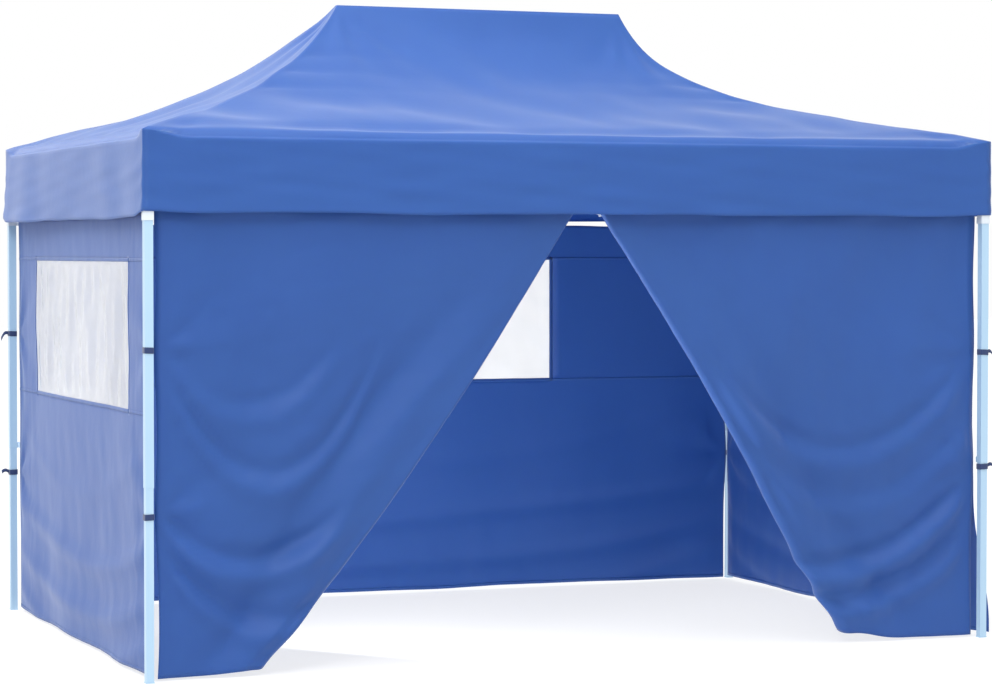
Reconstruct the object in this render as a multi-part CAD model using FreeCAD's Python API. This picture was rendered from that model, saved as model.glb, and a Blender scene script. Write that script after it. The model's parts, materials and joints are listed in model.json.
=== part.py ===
"""Pop-up gazebo, nominal 3 x 4.5 m, with a folding scissor frame, canopy and side walls.

Frame: +X along the long side, +Y from the door side to the rear, +Z up, millimetres.
The origin is on the floor under the middle of the gazebo.

Every truss is a row of scissor pairs of the same pitch.  Bars that rise toward the
positive end of their truss are "up" bars, the others are "down" bars.
"""
import FreeCAD
import Part
import math
import os

V = FreeCAD.Vector

# ---- driving dimensions: overall ----
LEG_SPACING_X = 4350.0        # between leg axes along the long side
UPPER_PIVOT_Z = 2465.0        # height of the top row of pivots
SCISSOR_OPENING = 300.0       # between the top and bottom pivot rows, open
EAVE_RISE = 28.0              # top edge of the valance above the top brackets
ROOF_RISE = 705.0             # ridge above the eave
VALANCE_HEIGHT = 381.0

# ---- driving dimensions: legs ----
OUTER_TUBE = 40.0
OUTER_WALL = 1.2
TUBE_CLEARANCE = 0.5          # each side, inner leg in outer leg
INNER_WALL = 1.2
OUTER_LEG_FOOT_Z = 890.0      # lower end of the outer leg
LEG_OVERLAP = 480.0           # inner leg inside outer leg, fully extended
FOOT_THICKNESS = 5.0
ANCHOR_HOLE_R = 5.25          # through the foot plate, for a weight base's bolt

# ---- driving dimensions: trusses ----
CORNER_PIVOT = 48.0           # pivot from the leg axis
BAR_HEIGHT = 25.0
BAR_THICKNESS = 12.0
BAR_WALL = 0.9
BAR_END = 15.0                # bar beyond its end pivot
BAR_GAP = 2.0                 # between two crossing bars
BOLT_R = 3.0
HEAD_R = 6.0
HEAD_THICKNESS = 3.0
RUNNING = 0.08                # radial clearance of a pivot hole
OPEN_LOOP = 0.25              # radial clearance where the linkage loop closes
SIDE_CLEARANCE = 0.4          # under a nut or a free bolt head

# ---- driving dimensions: corner fittings ----
BRACKET_WALL = 2.5
BRACKET_HEIGHT = 70.0
SLIDER_WALL = 2.6
SLIDER_CLEARANCE = 0.4
SLIDER_BELOW = 60.0           # slider block below its pivot
SLIDER_ABOVE = 35.0
EAR_THICKNESS = 4.0
EAR_GAP = 29.0                # between the two ears of a corner fitting
EAR_END = 12.0                # ear beyond its pivot
EAR_HEIGHT = 26.0

# ---- driving dimensions: spine ----
SPINE_OFFSET = 24.0           # bar centre plane from the spine's middle plane
POST_TUBE = 25.0
POST_WALL = 1.2
POST_CAP_TO_RIDGE = 43.0      # free height over the cap
POST_CAP_R = 34.0
POST_CAP_THICKNESS = 20.0
HUB_HALF_Y = 17.0
HUB_HALF_X = 25.0
HUB_HEIGHT = 40.0
HUB_CLEARANCE = 0.3
SLEEVE_R = 8.0
SADDLE_CLEARANCE = 0.3
SADDLE_HEIGHT = 30.0

# ---- driving dimensions: push buttons ----
BUTTON_R = 6.0
BUTTON_CLEARANCE = 0.1
BUTTON_CAP_R = 8.0
BUTTON_CAP = 4.0
BUTTON_TRAVEL = 5.0
HOUSING_HALF = 15.0
HOUSING_DEPTH = 18.0
HOUSING_HEIGHT = 30.0
TIP_STOP = 1.0                # tip to tube, pushed right in

# ---- driving dimensions: fabric ----
FABRIC = 1.2
ROOF_FABRIC = 1.5
CANOPY_GAP = 1.8              # between the sliders and the valance
WALL_GAP = 7.0                # wall face inside the sliders
REAR_WALL_DROP = 29.0         # rear wall's top below the valance hem
SIDE_WALL_DROP = 1.0
DOOR_WALL_TUCK = 53.0         # door wall's top above the valance hem
WALL_HEM_Z = 12.0
RIDGE_OVERHANG = 48.5         # ridge end beyond a post cap
RIDGE_WIDTH = 24.0
WINDOW_LENGTH = 2000.0
WINDOW_HEIGHT = 710.0
WINDOW_DROP = 222.0           # window top below the valance hem
WINDOW_INSET = 0.5            # film edge inside its opening
DOOR_TOP_GAP = 60.0           # between the two flaps at the top
DOOR_TIP_LEFT_X = -1600.0     # where the tied-back flap edge meets the floor
DOOR_TIP_RIGHT_X = 1430.0
FLAP_BULGE = 35.0             # outward bow of the tied-back edge
FLAP_THICKNESS = 3.0

# ---- sizes that follow ----
BAY = (LEG_SPACING_X - 2 * CORNER_PIVOT) / 3
LEG_SPACING_Y = 2 * BAY + 2 * CORNER_PIVOT
LEG_X = LEG_SPACING_X / 2
LEG_Y = LEG_SPACING_Y / 2
LOWER_PIVOT_Z = UPPER_PIVOT_Z - SCISSOR_OPENING
BAR_LENGTH = math.hypot(BAY, SCISSOR_OPENING)
BAR_ANGLE = math.degrees(math.atan2(SCISSOR_OPENING, BAY))
BAR_OFFSET = (BAR_THICKNESS + BAR_GAP) / 2
BAR_FACE = BAR_OFFSET + BAR_THICKNESS / 2
INNER_TUBE = OUTER_TUBE - 2 * OUTER_WALL - 2 * TUBE_CLEARANCE
POST_X = BAY / 2
HOLE_R = BOLT_R + RUNNING
OPEN_HOLE_R = BOLT_R + OPEN_LOOP
EAR_FACE = EAR_GAP / 2
BRACKET_HALF = OUTER_TUBE / 2 + BRACKET_WALL
SLIDER_HALF = OUTER_TUBE / 2 + SLIDER_WALL + SLIDER_CLEARANCE
OUTER_LEG_TOP_Z = UPPER_PIVOT_Z + BRACKET_HEIGHT / 2
EAVE_Z = OUTER_LEG_TOP_Z + EAVE_RISE
RIDGE_Z = EAVE_Z + ROOF_RISE
POST_TOP_Z = RIDGE_Z - POST_CAP_TO_RIDGE - POST_CAP_THICKNESS
RIDGE_LENGTH = 2 * (POST_X + POST_CAP_R + RIDGE_OVERHANG)
HEM_Z = EAVE_Z - VALANCE_HEIGHT
REAR_WALL_TOP_Z = HEM_Z - REAR_WALL_DROP
SIDE_WALL_TOP_Z = HEM_Z - SIDE_WALL_DROP
DOOR_WALL_TOP_Z = HEM_Z + DOOR_WALL_TUCK
WINDOW_HIGH_Z = HEM_Z - WINDOW_DROP
WINDOW_LOW_Z = WINDOW_HIGH_Z - WINDOW_HEIGHT
CANOPY_PROUD = SLIDER_HALF + CANOPY_GAP + FABRIC
WALL_SET_IN = SLIDER_HALF + WALL_GAP


def box(x0, x1, y0, y1, z0, z1):
    """Box between two corners."""
    return Part.makeBox(x1 - x0, y1 - y0, z1 - z0, V(x0, y0, z0))


def rod_y(x, z, r, y0, y1):
    """Round rod along Y."""
    return Part.makeCylinder(r, y1 - y0, V(x, y0, z), V(0, 1, 0))


def square_tube(outer, wall, z0, z1):
    """Square tube along Z on the origin's axis."""
    h = outer / 2
    i = h - wall
    return box(-h, h, -h, h, z0, z1).cut(box(-i, i, -i, i, z0 - 1, z1 + 1))


def placed(shape, x, y, turn=0.0):
    """Copy of a shape turned about Z, then moved in the floor plane."""
    out = shape.copy()
    out.rotate(V(0, 0, 0), V(0, 0, 1), turn)
    out.translate(V(x, y, 0))
    return out


def save(name, solids):
    """Write one node, made of one or more solids."""
    flat = []
    for s in solids:
        flat.extend(s.Solids)
    for s in flat:
        if not s.isValid():
            print("not valid:", name)
    shape = flat[0] if len(flat) == 1 else Part.makeCompound(flat)
    shape.exportStep("parts/%s.step" % name)


# ---- scissor bars, built in their truss's own plane: x along the truss, y across ----

def bar(u, rising, offset, hole_low, hole_mid, hole_high):
    """One tube bar of the scissor pair centred at u, with holes for its three pivots."""
    half = BAR_LENGTH / 2
    end = half + BAR_END
    h, t = BAR_HEIGHT / 2, BAR_THICKNESS / 2
    tube = box(-end, end, -t, t, -h, h)
    tube = tube.cut(box(-end - 1, end + 1, -t + BAR_WALL, t - BAR_WALL, -h + BAR_WALL, h - BAR_WALL))
    ends = (hole_low, hole_high) if rising else (hole_high, hole_low)
    for x, r in ((-half, ends[0]), (0.0, hole_mid), (half, ends[1])):
        tube = tube.cut(rod_y(x, 0, r, -t - 1, t + 1))
    tube.rotate(V(0, 0, 0), V(0, 1, 0), -BAR_ANGLE if rising else BAR_ANGLE)
    tube.translate(V(u, offset, (UPPER_PIVOT_Z + LOWER_PIVOT_Z) / 2))
    return tube


def bolt(u, z, seat, far, sleeve=0.0):
    """Bolt along Y whose head sits on the face at seat and whose nut is past the face at far."""
    s = 1 if far > seat else -1
    nut = far + s * SIDE_CLEARANCE
    lo, hi = sorted((seat, nut))
    solid = rod_y(u, z, BOLT_R, lo, hi)
    for face, way in ((seat, -s), (nut, s)):
        a, b = sorted((face, face + way * HEAD_THICKNESS))
        solid = solid.fuse(rod_y(u, z, HEAD_R, a, b))
    if sleeve:
        solid = solid.fuse(rod_y(u, z, SLEEVE_R, -sleeve, sleeve))
    return solid.removeSplitter()


def crossing_bolt(u, z, on_up_bar):
    """Bolt through two crossing bars; its head seats on the bar that carries it."""
    return bolt(u, z, -BAR_FACE, BAR_FACE) if on_up_bar else bolt(u, z, BAR_FACE, -BAR_FACE)


def long_truss(side, y):
    """Three scissor pairs between two legs: loops close at the lower and right-hand pivots."""
    for i in range(3):
        u = (i - 1) * BAY
        right = u + BAY / 2
        up_low = OPEN_HOLE_R
        up_high = OPEN_HOLE_R if i == 2 else BOLT_R
        down_low = OPEN_HOLE_R if i == 2 else BOLT_R
        up = [bar(u, True, -BAR_OFFSET, up_low, BOLT_R, up_high)]
        down = [bar(u, False, BAR_OFFSET, down_low, HOLE_R, HOLE_R)]
        up.append(crossing_bolt(u, (UPPER_PIVOT_Z + LOWER_PIVOT_Z) / 2, True))
        if i < 2:
            up.append(crossing_bolt(right, UPPER_PIVOT_Z, True))
            down.append(crossing_bolt(right, LOWER_PIVOT_Z, False))
        save("%s_bar_up_%d" % (side, i + 1), [placed(s, 0, y) for s in up])
        save("%s_bar_down_%d" % (side, i + 1), [placed(s, 0, y) for s in down])


def short_truss(side, x):
    """Two scissor pairs between two legs, hung at the middle on the spine's end brackets."""
    for half, u in (("front", -BAY / 2), ("rear", BAY / 2)):
        up_low, down_low = (HOLE_R, OPEN_HOLE_R) if half == "front" else (OPEN_HOLE_R, HOLE_R)
        up = [bar(u, True, -BAR_OFFSET, up_low, BOLT_R, HOLE_R)]
        down = [bar(u, False, BAR_OFFSET, down_low, HOLE_R, HOLE_R)]
        up.append(crossing_bolt(u, (UPPER_PIVOT_Z + LOWER_PIVOT_Z) / 2, True))
        save("%s_bar_up_%s" % (side, half), [placed(s, x, 0, 90) for s in up])
        save("%s_bar_down_%s" % (side, half), [placed(s, x, 0, 90) for s in down])


# ---- spine: three scissor pairs, posts, hubs and end brackets ----

SPINE_IN = SPINE_OFFSET - BAR_THICKNESS / 2
SPINE_OUT = SPINE_OFFSET + BAR_THICKNESS / 2


def spine():
    """Bars of the middle truss; up bars toward the rear, down bars toward the door."""
    for i in range(3):
        u = (i - 1) * BAY
        up_low = HOLE_R if i == 0 else OPEN_HOLE_R
        up = [bar(u, True, SPINE_OFFSET, up_low, BOLT_R, HOLE_R)]
        down = [bar(u, False, -SPINE_OFFSET, HOLE_R if i == 2 else BOLT_R, HOLE_R, HOLE_R)]
        middle = (UPPER_PIVOT_Z + LOWER_PIVOT_Z) / 2
        up.append(bolt(u, middle, SPINE_OUT, -SPINE_OUT, SPINE_IN - SIDE_CLEARANCE))
        if i < 2:
            down.append(bolt(u + BAY / 2, LOWER_PIVOT_Z, -SPINE_OUT, SPINE_OUT, SPINE_IN - SIDE_CLEARANCE))
        save("spine_bar_up_%d" % (i + 1), up)
        save("spine_bar_down_%d" % (i + 1), down)


def stub_pins(x, z):
    """Two headed pins that stand out of a hub or bracket along Y."""
    pins = rod_y(x, z, BOLT_R, -SPINE_OUT - SIDE_CLEARANCE, SPINE_OUT + SIDE_CLEARANCE)
    for s in (-1, 1):
        a, b = sorted((s * (SPINE_OUT + SIDE_CLEARANCE), s * (SPINE_OUT + SIDE_CLEARANCE + HEAD_THICKNESS)))
        pins = pins.fuse(rod_y(x, z, HEAD_R, a, b))
    return pins


def posts():
    """Telescoping peak posts, each sliding in its upper hub and standing on the lower bolt."""
    h = POST_TUBE / 2
    slot = h + HUB_CLEARANCE
    seat_z = LOWER_PIVOT_Z + SLEEVE_R + SADDLE_CLEARANCE
    for side, x in (("left", -POST_X), ("right", POST_X)):
        z0, z1 = UPPER_PIVOT_Z - HUB_HEIGHT / 2, UPPER_PIVOT_Z + HUB_HEIGHT / 2
        hub = box(-HUB_HALF_X, HUB_HALF_X, -HUB_HALF_Y, HUB_HALF_Y, z0, z1)
        hub = hub.fuse(stub_pins(0, UPPER_PIVOT_Z))
        hub = hub.cut(box(-slot, slot, -slot, slot, z0 - 1, z1 + 1))
        save("upper_hub_%s" % side, [placed(hub, x, 0)])
        post = square_tube(POST_TUBE, POST_WALL, seat_z, POST_TOP_Z)
        inner = h - POST_WALL
        plug = box(-inner, inner, -inner, inner, seat_z, seat_z + SADDLE_HEIGHT)
        cap = Part.makeCylinder(POST_CAP_R, POST_CAP_THICKNESS, V(0, 0, POST_TOP_Z))
        cap = cap.makeFillet(POST_CAP_THICKNESS * 0.45, [e for e in cap.Edges if e.BoundBox.ZMin > POST_TOP_Z + 1])
        save("peak_post_%s" % side, [placed(s, x, 0) for s in (post, plug, cap)])


def spine_end_brackets():
    """Brackets on the short trusses' middle bolts, which carry the ends of the spine."""
    for side, sign in (("left", 1), ("right", -1)):
        for row, z in (("upper", UPPER_PIVOT_Z), ("lower", LOWER_PIVOT_Z)):
            face = BAR_FACE + SIDE_CLEARANCE + 1.0
            block = box(face, CORNER_PIVOT + 10, -HUB_HALF_Y, HUB_HALF_Y, z - 14, z + 14)
            block = block.fuse(stub_pins(CORNER_PIVOT, z))
            nut = -BAR_FACE - SIDE_CLEARANCE
            shank = Part.makeCylinder(BOLT_R, face - nut, V(nut, 0, z), V(1, 0, 0))
            head = Part.makeCylinder(HEAD_R, HEAD_THICKNESS, V(nut - HEAD_THICKNESS, 0, z), V(1, 0, 0))
            whole = block.fuse([shank, head]).removeSplitter()
            turn = 0 if sign > 0 else 180
            save("spine_bracket_%s_%s" % (side, row), [placed(whole, -sign * LEG_X, 0, turn)])


# ---- legs, built at a leg whose tent lies toward +X and +Y ----

def ears(half, z):
    """Two pairs of ears and their bolts, along +X and +Y, round the pivots of a corner fitting."""
    out = []
    reach = CORNER_PIVOT + EAR_END
    e0, e1 = EAR_FACE, EAR_FACE + EAR_THICKNESS
    for s in (-1, 1):
        a, b = sorted((s * e0, s * e1))
        out.append(box(half - 1, reach, a, b, z - EAR_HEIGHT / 2, z + EAR_HEIGHT / 2))
        out.append(box(a, b, half - 1, reach, z - EAR_HEIGHT / 2, z + EAR_HEIGHT / 2))
    along_y = rod_y(CORNER_PIVOT, z, BOLT_R, -e1, e1)
    for s in (-1, 1):
        a, b = sorted((s * e1, s * (e1 + HEAD_THICKNESS)))
        along_y = along_y.fuse(rod_y(CORNER_PIVOT, z, HEAD_R, a, b))
    along_x = along_y.copy()
    along_x.rotate(V(0, 0, z), V(0, 0, 1), 90)
    return out + [along_y, along_x]


def housing(half, z0, turn):
    """Push-button housing on a square face, with the button's bore; turn 0 faces +X."""
    block = box(half - 1, half + HOUSING_DEPTH, -HOUSING_HALF, HOUSING_HALF, z0, z0 + HOUSING_HEIGHT)
    block.rotate(V(0, 0, 0), V(0, 0, 1), turn)
    return block


def button_bore(half, z0, turn):
    """Cutter for the button's bore."""
    z = z0 + HOUSING_HEIGHT / 2
    bore = Part.makeCylinder(BUTTON_R + BUTTON_CLEARANCE, HOUSING_DEPTH + 2, V(half + 0.01, 0, z), V(1, 0, 0))
    bore.rotate(V(0, 0, 0), V(0, 0, 1), turn)
    return bore


def button(half, z0, turn):
    """Spring button at rest: its tip stops short of the tube when pushed in."""
    z = z0 + HOUSING_HEIGHT / 2
    tip = half + TIP_STOP + BUTTON_TRAVEL
    seat = half + HOUSING_DEPTH + BUTTON_TRAVEL + 1
    stem = Part.makeCylinder(BUTTON_R, seat - tip, V(tip, 0, z), V(1, 0, 0))
    cap = Part.makeCylinder(BUTTON_CAP_R, BUTTON_CAP, V(seat, 0, z), V(1, 0, 0))
    whole = stem.fuse(cap).removeSplitter()
    whole.rotate(V(0, 0, 0), V(0, 0, 1), turn)
    return whole


def leg(name, sx, sy, button_turn):
    """Outer leg with top bracket, slider, inner leg with foot, and the two push buttons."""
    turn = {(-1, -1): 0, (1, -1): 90, (1, 1): 180, (-1, 1): 270}[(sx, sy)]
    x, y = sx * LEG_X, sy * LEG_Y
    local = (button_turn - turn) % 360

    def put(solids):
        return [placed(s, x, y, turn) for s in solids]

    h = OUTER_TUBE / 2
    tube = square_tube(OUTER_TUBE, OUTER_WALL, OUTER_LEG_FOOT_Z, OUTER_LEG_TOP_Z)
    b0 = UPPER_PIVOT_Z - BRACKET_HEIGHT / 2
    block = box(-BRACKET_HALF, BRACKET_HALF, -BRACKET_HALF, BRACKET_HALF, b0, OUTER_LEG_TOP_Z)
    parts = ears(BRACKET_HALF, UPPER_PIVOT_Z)
    block = block.fuse(parts).cut(box(-h, h, -h, h, b0 - 1, OUTER_LEG_TOP_Z + 1))
    lock = housing(h, OUTER_LEG_FOOT_Z, local).cut(box(-h, h, -h, h, 0, EAVE_Z))
    lock = lock.cut(button_bore(h, OUTER_LEG_FOOT_Z, local))
    save("outer_leg_%s" % name, put([tube, block.removeSplitter(), lock]))
    save("height_button_%s" % name, put([button(h, OUTER_LEG_FOOT_Z, local)]))

    s = SLIDER_HALF
    i = h + SLIDER_CLEARANCE
    z0, z1 = LOWER_PIVOT_Z - SLIDER_BELOW, LOWER_PIVOT_Z + SLIDER_ABOVE
    block = box(-s, s, -s, s, z0, z1).fuse(ears(s, LOWER_PIVOT_Z) + [housing(s, z0, local)])
    block = block.cut(box(-i, i, -i, i, z0 - 1, z1 + 1)).cut(button_bore(s, z0, local))
    save("slider_%s" % name, put([block.removeSplitter()]))
    save("slider_button_%s" % name, put([button(s, z0, local)]))

    top = OUTER_LEG_FOOT_Z + LEG_OVERLAP
    tube = square_tube(INNER_TUBE, INNER_WALL, FOOT_THICKNESS, top)
    plate = box(-h, h, -h, h, 0, FOOT_THICKNESS)
    plate = plate.cut(Part.makeCylinder(ANCHOR_HOLE_R, FOOT_THICKNESS + 2, V(0, 0, -1)))
    save("inner_leg_%s" % name, put([tube, plate]))


# ---- fabric ----

def roof_height(s):
    """Height share at plan share s from eave (0) to ridge (1): a slack, concave hip."""
    return 0.45 * s + 0.55 * s ** 5


def rings(inset, drop):
    """Rectangles of the canopy from the valance hem up to the ridge."""
    hx, hy = LEG_X + CANOPY_PROUD - inset, LEG_Y + CANOPY_PROUD - inset
    rx, ry = RIDGE_LENGTH / 2 - inset, RIDGE_WIDTH / 2 - inset
    out = [(hx, hy, HEM_Z), (hx, hy, EAVE_Z - drop)]
    for s in (0.25, 0.5, 0.7, 0.85, 0.94, 1.0):
        z = EAVE_Z - drop + (RIDGE_Z - EAVE_Z) * roof_height(s)
        out.append((hx + (rx - hx) * s, hy + (ry - hy) * s, z))
    return [[V(-a, -b, z), V(a, -b, z), V(a, b, z), V(-a, b, z)] for a, b, z in out]


def face(points):
    """Flat face through points."""
    return Part.Face(Part.makePolygon(points + [points[0]]))


def skin(stack):
    """Faces between neighbouring rings, and the flat top."""
    out = []
    for low, high in zip(stack, stack[1:]):
        for k in range(4):
            n = (k + 1) % 4
            out.append(face([low[k], low[n], high[n], high[k]]))
    out.append(face(stack[-1]))
    return out


def canopy():
    """Roof and valance in one closed shell."""
    outer, inner = rings(0, 0), rings(FABRIC, ROOF_FABRIC)
    faces = skin(outer) + skin(inner)
    for k in range(4):
        n = (k + 1) % 4
        faces.append(face([outer[0][k], outer[0][n], inner[0][n], inner[0][k]]))
    shell = Part.makeShell(faces)
    shell.sewShape()
    solid = Part.makeSolid(shell)
    if solid.Volume < 0:
        solid.reverse()
    save("canopy", [solid])


def wall_with_window(length, thick_from, top_z):
    """Flat wall along x in its own frame, from y = thick_from outward, with a film window."""
    half = length / 2
    w = WINDOW_LENGTH / 2
    cloth = box(-half, half, thick_from, thick_from + FABRIC, WALL_HEM_Z, top_z)
    cloth = cloth.cut(box(-w, w, thick_from - 1, thick_from + FABRIC + 1, WINDOW_LOW_Z, WINDOW_HIGH_Z))
    g = WINDOW_INSET
    film = box(-w + g, w - g, thick_from + FABRIC * 0.25, thick_from + FABRIC * 0.75,
               WINDOW_LOW_Z + g, WINDOW_HIGH_Z - g)
    return [cloth, film]


def walls():
    """Rear, left and right walls, inside the legs."""
    gap = 4.0
    rear_length = LEG_SPACING_X - 2 * WALL_SET_IN - 2 * gap
    rear = wall_with_window(rear_length, LEG_Y - WALL_SET_IN - FABRIC, REAR_WALL_TOP_Z)
    save("wall_rear", rear)
    side_length = LEG_SPACING_Y - 2 * WALL_SET_IN - 2 * gap
    side = wall_with_window(side_length, LEG_X - WALL_SET_IN - FABRIC, SIDE_WALL_TOP_Z)
    save("wall_left", [placed(s, 0, 0, 90) for s in side])
    save("wall_right", [placed(s, 0, 0, 270) for s in side])


def door_flap(name, sign, tip_x):
    """Tied-back half of the door wall: full width at the top, narrow at the floor."""
    y1 = -LEG_Y + WALL_SET_IN
    y0 = y1 + FLAP_THICKNESS
    leg_x = sign * (LEG_X - WALL_SET_IN - 4.0)
    top_x = sign * DOOR_TOP_GAP / 2
    edge = []
    steps = 6
    for k in range(steps + 1):
        t = k / steps
        bow = 4 * t * (1 - t) * FLAP_BULGE
        z = DOOR_WALL_TOP_Z + (WALL_HEM_Z - DOOR_WALL_TOP_Z) * t
        edge.append(V(top_x + (tip_x - top_x) * t - sign * bow, y1, z))
    outline = [V(leg_x, y1, DOOR_WALL_TOP_Z)] + edge + [V(leg_x, y1, WALL_HEM_Z)]
    save(name, [face(outline).extrude(V(0, y0 - y1, 0))])


def main():
    """Write every node."""
    os.makedirs("parts", exist_ok=True)
    long_truss("front", -LEG_Y)
    long_truss("rear", LEG_Y)
    short_truss("left", -LEG_X)
    short_truss("right", LEG_X)
    spine()
    posts()
    spine_end_brackets()
    leg("front_left", -1, -1, 90)
    leg("front_right", 1, -1, 90)
    leg("rear_right", 1, 1, 180)
    leg("rear_left", -1, 1, 0)
    canopy()
    walls()
    door_flap("door_flap_left", -1, DOOR_TIP_LEFT_X)
    door_flap("door_flap_right", 1, DOOR_TIP_RIGHT_X)


main()
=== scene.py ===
"""Pop-up gazebo: fabric, films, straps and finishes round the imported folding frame.

Metres, Z up, X along the long side, -Y toward the door.  Every sheet is a function of two
parameters on a grid, worked out as whole arrays.
"""
from __future__ import annotations

import json
import logging
import math
from dataclasses import dataclass, field
from enum import Enum

import bmesh
import bpy
import numpy as np
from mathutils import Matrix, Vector

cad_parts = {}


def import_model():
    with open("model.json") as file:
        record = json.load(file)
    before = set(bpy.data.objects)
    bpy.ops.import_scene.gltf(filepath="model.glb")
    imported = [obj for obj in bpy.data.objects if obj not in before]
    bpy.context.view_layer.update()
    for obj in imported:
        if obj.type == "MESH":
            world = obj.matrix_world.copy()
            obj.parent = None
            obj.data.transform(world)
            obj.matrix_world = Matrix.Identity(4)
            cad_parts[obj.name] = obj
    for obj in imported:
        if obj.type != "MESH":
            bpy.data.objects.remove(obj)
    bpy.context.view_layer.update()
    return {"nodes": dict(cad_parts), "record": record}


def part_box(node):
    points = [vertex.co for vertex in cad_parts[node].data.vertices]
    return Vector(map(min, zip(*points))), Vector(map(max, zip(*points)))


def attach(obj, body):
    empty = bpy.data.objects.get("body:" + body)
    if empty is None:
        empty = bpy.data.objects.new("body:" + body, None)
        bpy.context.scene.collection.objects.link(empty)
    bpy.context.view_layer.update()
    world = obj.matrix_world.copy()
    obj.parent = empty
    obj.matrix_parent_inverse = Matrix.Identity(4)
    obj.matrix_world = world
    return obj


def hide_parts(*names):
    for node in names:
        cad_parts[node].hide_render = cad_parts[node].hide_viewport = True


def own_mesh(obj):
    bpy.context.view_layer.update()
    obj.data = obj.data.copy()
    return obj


LOG = logging.getLogger("gazebo")

OUTER_TUBE = 0.040            # outer leg, square
CLOTH = 0.0012                # sheet thickness, a little over real 0.4 mm so that edges show
TAPE_PROUD = 0.0016           # sewn tape above the cloth
STRAP_LEVELS = (0.757, 1.515)
STRAP_LEVELS_FRONT_RIGHT = (0.872, 1.453)


# ---------------------------------------------------------------- frame measures

@dataclass(frozen=True)
class FrameMeasures:
    """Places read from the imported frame, in metres."""

    leg_x: float
    leg_y: float
    leg_half: float
    canopy_x: float
    canopy_y: float
    hem_z: float
    ridge_z: float
    wall_x: float
    wall_y: float
    rear_top: float
    side_top: float
    door_top: float
    wall_hem: float
    wall_half_x: float
    wall_half_y: float
    upper_pivot: float
    hub_x: float

    @classmethod
    def read(cls) -> "FrameMeasures":
        """Read the boxes of the CAD nodes.

        Returns:
            The measures that the fabric is fitted to.
        """
        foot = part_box("inner_leg_front_left")
        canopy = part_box("canopy")
        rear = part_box("wall_rear")
        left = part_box("wall_left")
        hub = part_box("upper_hub_right")
        half = OUTER_TUBE / 2
        return cls(
            leg_x=-(foot[0][0] + foot[1][0]) / 2,
            leg_y=-(foot[0][1] + foot[1][1]) / 2,
            leg_half=half,
            canopy_x=canopy[1][0],
            canopy_y=canopy[1][1],
            hem_z=canopy[0][2],
            ridge_z=canopy[1][2],
            wall_x=-(left[0][0] + left[1][0]) / 2,
            wall_y=(rear[0][1] + rear[1][1]) / 2,
            rear_top=rear[1][2],
            side_top=left[1][2],
            door_top=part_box("door_flap_left")[1][2],
            wall_hem=rear[0][2],
            wall_half_x=rear[1][0],
            wall_half_y=left[1][1],
            upper_pivot=(hub[0][2] + hub[1][2]) / 2,
            hub_x=(hub[0][0] + hub[1][0]) / 2,
        )


# ---------------------------------------------------------------- number helpers

def smooth(x: np.ndarray, low: float, high: float) -> np.ndarray:
    """Smoothstep: 0 below low, 1 above high, 3t^2 - 2t^3 between.

    Args:
        x: Values.
        low: Where the step starts.
        high: Where the step ends.

    Returns:
        The step's value for each x.
    """
    t = np.clip((x - low) / (high - low), 0.0, 1.0)
    return t * t * (3.0 - 2.0 * t)


def bell(x: np.ndarray, centre: float, width: float) -> np.ndarray:
    """Gaussian bell exp(-((x - centre) / width)^2)."""
    return np.exp(-(((x - centre) / width) ** 2))


@dataclass(frozen=True)
class Ripple:
    """Smooth random relief: a sum of sine waves with random directions and phases."""

    seed: int
    length: float
    stretch: tuple[float, float] = (1.0, 1.0)
    waves: int = 9

    def at(self, u: np.ndarray, v: np.ndarray) -> np.ndarray:
        """Relief between about -1 and 1 at the places (u, v).

        Args:
            u: First coordinate, metres.
            v: Second coordinate, metres.

        Returns:
            Sum of sin(k.u + phase) over the waves, scaled to unit size.
        """
        random = np.random.default_rng(self.seed)
        total = np.zeros(np.broadcast(u, v).shape)
        for _ in range(self.waves):
            turn = random.uniform(0.0, 2.0 * math.pi)
            wave = 2.0 * math.pi / (self.length * random.uniform(0.6, 1.7))
            phase = random.uniform(0.0, 2.0 * math.pi)
            total += np.sin(wave * (math.cos(turn) * u / self.stretch[0]
                                    + math.sin(turn) * v / self.stretch[1]) + phase)
        return total / math.sqrt(self.waves)


def sheet_object(name: str, points: np.ndarray, flat: np.ndarray, closed: bool = False,
                 keep: np.ndarray | None = None, thickness: float = CLOTH) -> bpy.types.Object:
    """Make a mesh object from a grid of points.

    Args:
        name: Piece name.
        points: Array (rows, columns, 3) in metres.
        flat: Array (rows, columns, 2), the cloth's own flat coordinates in metres, kept as UV.
        closed: True where the last column joins the first.
        keep: Optional mask (rows - 1, columns - 1) of the cells that are cloth.
        thickness: Thickness given by a live Solidify modifier; 0 for none.

    Returns:
        The new object, at the origin.
    """
    rows, columns = points.shape[:2]
    wide = columns if closed else columns - 1
    i, j = np.meshgrid(np.arange(rows - 1), np.arange(wide), indexing="ij")
    k = (j + 1) % columns
    quads = np.stack([i * columns + j, i * columns + k,
                      (i + 1) * columns + k, (i + 1) * columns + j], axis=-1)
    if keep is not None:
        quads = quads[keep]
    quads = quads.reshape(-1, 4)
    mesh = bpy.data.meshes.new(name)
    mesh.from_pydata(points.reshape(-1, 3).tolist(), [], quads.tolist())
    uv = mesh.uv_layers.new(name="flat")
    corners = flat.reshape(-1, 2)[quads.reshape(-1)].copy()
    if closed:
        seam = corners.reshape(-1, 4, 2)
        jump = (seam[:, 1, 0] < seam[:, 0, 0] - 1.0)
        span = flat[..., 0].max() + flat[0, 1, 0] - flat[0, 0, 0]
        seam[jump, 1:3, 0] += span
        corners = seam.reshape(-1, 2)
    uv.data.foreach_set("uv", corners.astype(np.float32).reshape(-1))
    mesh.shade_smooth()
    mesh.validate()
    made = bpy.data.objects.new(name, mesh)
    bpy.context.scene.collection.objects.link(made)
    if keep is not None:
        drop_loose(made)
    if thickness:
        solid = made.modifiers.new("cloth thickness", "SOLIDIFY")
        solid.thickness = thickness
        solid.offset = 0.0
    return made


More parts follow.
